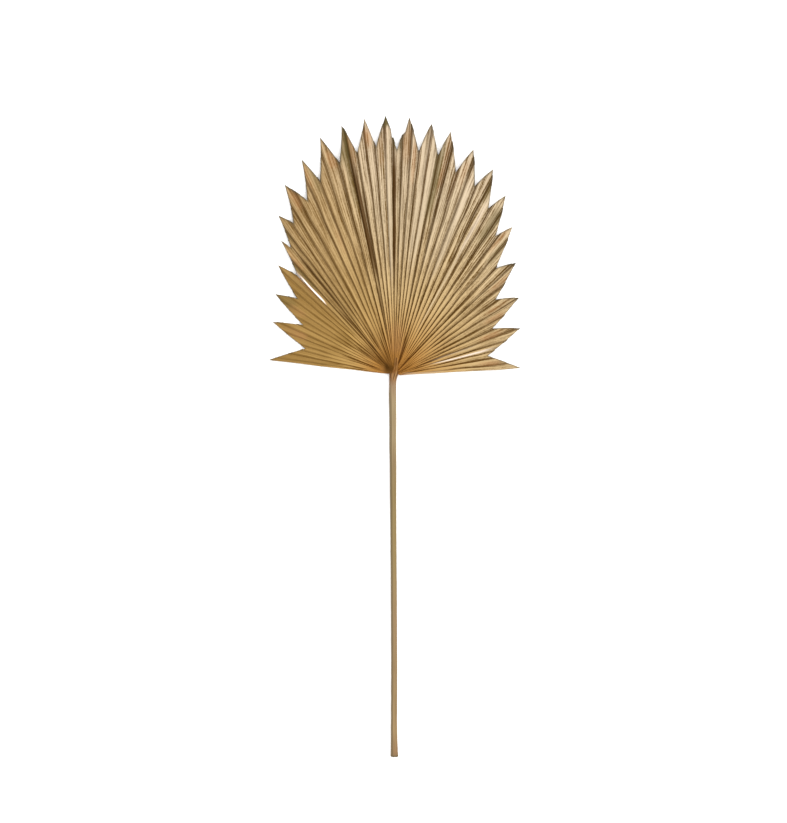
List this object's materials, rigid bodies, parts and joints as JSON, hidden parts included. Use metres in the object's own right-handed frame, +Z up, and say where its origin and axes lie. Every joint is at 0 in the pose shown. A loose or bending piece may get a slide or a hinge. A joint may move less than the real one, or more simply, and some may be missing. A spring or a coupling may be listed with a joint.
{
  "type": "dried sun palm leaf",
  "caption": "Dried fan palm leaf lying face up: a pleated fan with a trimmed, toothed edge on a straight, slender cut stalk.",
  "frame": {"origin": "centre of the small flat spot under the hub, where the stalk meets the fan, on the surface that the leaf lies on", "axes": "+Z up, +Y from the stalk to the top of the fan, +X to the right seen from above"},
  "size_m": [0.2367, 0.601, 0.0118],
  "materials": {
    "dried_palm": "dry, fibrous straw with a faint silky sheen along the fibres"
  },
  "bodies": {
    "root": {"palm_leaf": "dried_palm"}
  },
  "joints": []
}
